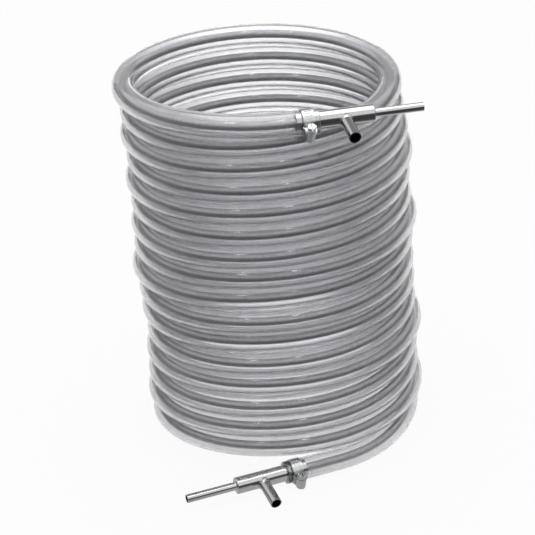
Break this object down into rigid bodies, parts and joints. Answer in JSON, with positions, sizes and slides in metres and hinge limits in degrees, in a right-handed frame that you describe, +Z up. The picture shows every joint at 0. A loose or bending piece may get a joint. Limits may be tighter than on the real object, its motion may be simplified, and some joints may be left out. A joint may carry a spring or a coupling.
{
  "type": "counterflow wort chiller",
  "caption": "Counterflow wort chiller: clear hose wound in a free-standing coil round a steel inner tube, with a steel tee and a worm-drive clamp at each end.",
  "frame": {"origin": "on the floor, at the foot of the coil's axis", "axes": "+Z up the coil's axis, -Y to the front, where both side branches point, +X to the right, where the top tube end points"},
  "size_m": [0.3349, 0.3862, 0.446],
  "materials": {
    "clear_hose": "clear flexible vinyl hose, glossy, faintly lavender grey",
    "tube_steel": "bright drawn stainless tube",
    "polished_steel": "mirror-polished stainless",
    "weld_bead": "satin weld, polished over",
    "band_steel": "bright rolled strip",
    "housing_steel": "satin pressed steel",
    "screw_steel": "bright zinc-plated steel"
  },
  "bodies": {
    "chiller": {"jacket_hose": "clear_hose", "inner_tube": "tube_steel", "top_tube_end": "tube_steel", "top_tee_body": "polished_steel", "top_branch_tube": "polished_steel", "top_end_cap": "polished_steel", "top_cap_weld": "weld_bead", "top_branch_weld": "weld_bead", "top_clamp_band": "band_steel", "top_clamp_saddle": "band_steel", "top_clamp_housing": "housing_steel", "bottom_tube_end": "tube_steel", "bottom_tee_body": "polished_steel", "bottom_branch_tube": "polished_steel", "bottom_end_cap": "polished_steel", "bottom_cap_weld": "weld_bead", "bottom_branch_weld": "weld_bead", "bottom_clamp_band": "band_steel", "bottom_clamp_saddle": "band_steel", "bottom_clamp_housing": "housing_steel"},
    "top_screw": {"top_clamp_screw": "screw_steel"},
    "bottom_screw": {"bottom_clamp_screw": "screw_steel"}
  },
  "joints": [
    {"name": "top_screw_turn", "type": "hinge", "parent": "chiller", "child": "top_screw", "pos_m": [0.04194, -0.17268, 0.42384], "axis": [0.1019, -0.4141, 0.9045], "continuous": true},
    {"name": "bottom_screw_turn", "type": "hinge", "parent": "chiller", "child": "bottom_screw", "pos_m": [0.00958, -0.18654, 0.01047], "axis": [0.0996, -0.1942, 0.9759], "continuous": true}
  ]
}
